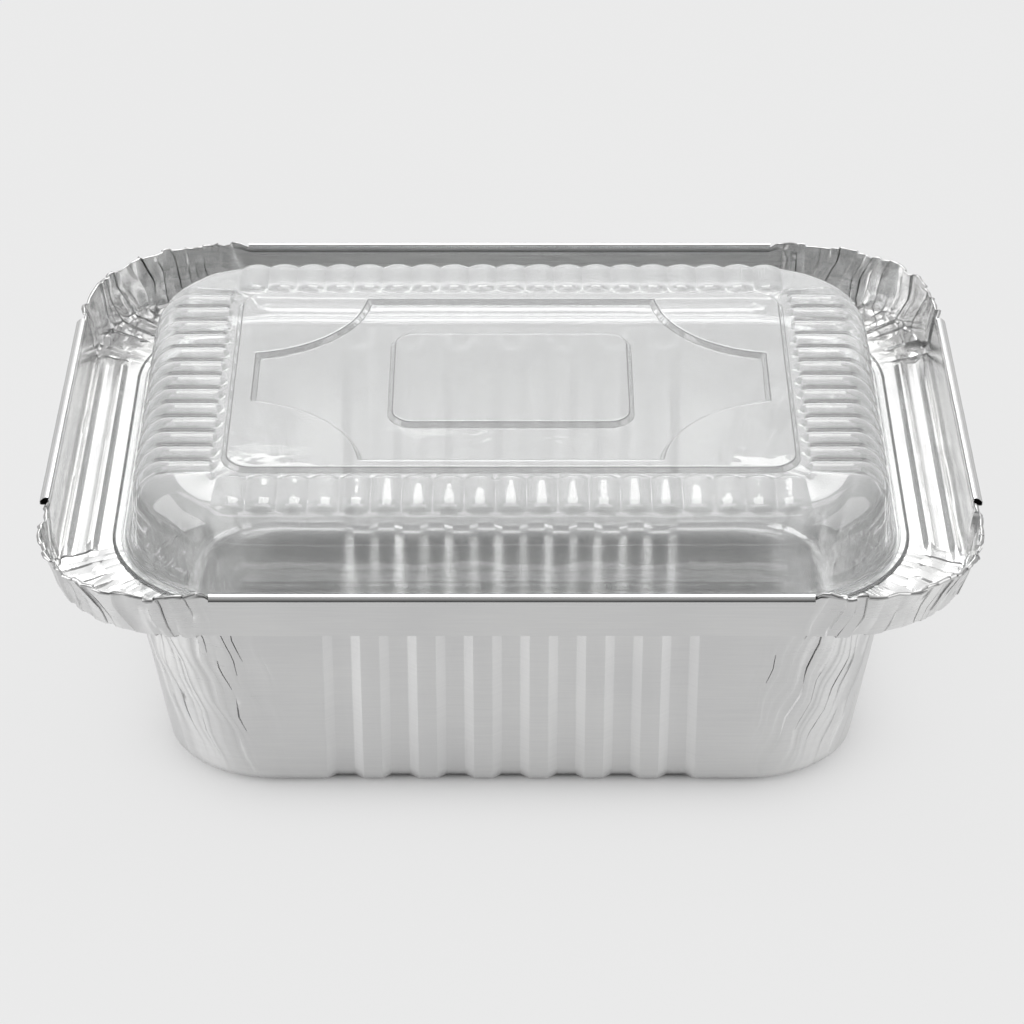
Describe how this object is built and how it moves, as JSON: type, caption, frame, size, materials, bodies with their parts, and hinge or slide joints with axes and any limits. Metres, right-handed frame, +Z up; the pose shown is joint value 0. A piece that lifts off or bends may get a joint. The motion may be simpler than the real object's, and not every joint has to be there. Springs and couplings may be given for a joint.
{
  "type": "foil food container",
  "caption": "Pressed aluminium foil tray with fluted walls, a wide ledge and an upright rolled rim, closed by a clear plastic domed lid that lies on the ledge.",
  "frame": {"origin": "middle of the tray's flat foot, on the surface it stands on", "axes": "+X along the long side, +Y towards the back long side, +Z up through the lid"},
  "size_m": [0.2248, 0.1748, 0.0815],
  "materials": {
    "foil": "bright rolled foil, semi-gloss",
    "clear_sheet": "clear glossy thermoformed sheet"
  },
  "bodies": {
    "root": {"foil_tray": "foil", "dome_lid": "clear_sheet"}
  },
  "joints": []
}
